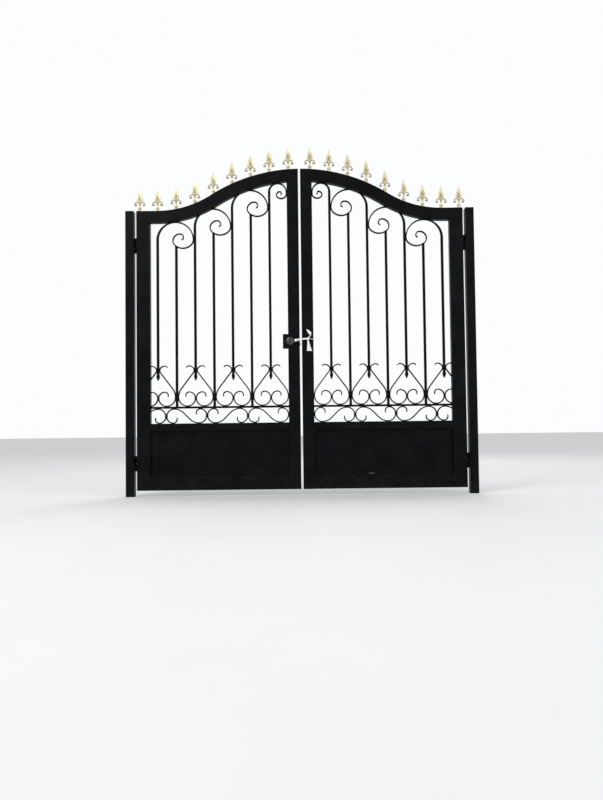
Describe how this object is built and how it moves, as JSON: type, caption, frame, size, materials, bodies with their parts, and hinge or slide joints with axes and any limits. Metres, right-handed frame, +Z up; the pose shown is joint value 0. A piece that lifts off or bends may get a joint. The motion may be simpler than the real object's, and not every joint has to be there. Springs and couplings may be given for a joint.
{
  "type": "double-leaf wrought iron gate",
  "caption": "Double-leaf ironwork entrance gate with curved top rails, crook-topped bars, scrollwork, solid kick panels and gold spear finials, hung between square posts.",
  "frame": {"origin": "middle of the left post's flat foot, at ground level, seen from the outside with the gate closed", "axes": "+X across the opening from the left post to the right post, +Y in through the gate, +Z up"},
  "size_m": [2.048, 0.116, 2.0529],
  "materials": {
    "black_paint": "semi-gloss black paint over iron, slightly uneven, dusty at the foot",
    "gold_paint": "worn gold paint over cast iron",
    "plain_steel": "dull bare steel",
    "polished_steel": "polished plated metal with fine scratches",
    "white_cloth": "matt white cloth tape"
  },
  "bodies": {
    "posts": {"post_left": "black_paint", "post_right": "black_paint", "post_hinges_left": "black_paint", "post_hinges_right": "black_paint"},
    "left_leaf": {"hinge_stile_left": "black_paint", "meeting_stile_left": "black_paint", "top_rail_left": "black_paint", "mid_rail_left": "black_paint", "bottom_rail_left": "black_paint", "kick_panel_left": "black_paint", "thin_rail_left": "black_paint", "bars_left": "black_paint", "lyre_scrolls_left": "black_paint", "band_scrolls_left": "black_paint", "scroll_collars_left": "black_paint", "finials_left": "gold_paint", "leaf_hinges_left": "black_paint", "lock_case": "black_paint", "latch_bolt": "plain_steel", "rose_front": "black_paint", "rose_back": "black_paint"},
    "right_leaf": {"hinge_stile_right": "black_paint", "meeting_stile_right": "black_paint", "top_rail_right": "black_paint", "mid_rail_right": "black_paint", "bottom_rail_right": "black_paint", "kick_panel_right": "black_paint", "thin_rail_right": "black_paint", "bars_right": "black_paint", "lyre_scrolls_right": "black_paint", "band_scrolls_right": "black_paint", "scroll_collars_right": "black_paint", "finials_right": "gold_paint", "leaf_hinges_right": "black_paint", "keep_plate": "plain_steel", "tie_strip": "white_cloth"},
    "lever": {"spindle": "plain_steel", "lever_front": "polished_steel", "lever_back": "polished_steel"}
  },
  "joints": [
    {"name": "left_swing", "type": "hinge", "parent": "posts", "child": "left_leaf", "pos_m": [0.032, 0.036, 0], "axis": [0, 0, 1], "range_deg": [0, 90]},
    {"name": "right_swing", "type": "hinge", "parent": "posts", "child": "right_leaf", "pos_m": [1.966, 0.036, 0], "axis": [0, 0, -1], "range_deg": [0, 90]},
    {"name": "lever_turn", "type": "hinge", "parent": "left_leaf", "child": "lever", "pos_m": [0.937, 0, 0.897], "axis": [0, 1, 0], "range_deg": [0, 40], "stiffness_Nm_per_rad": 1.5, "springref_deg": -17.19}
  ]
}
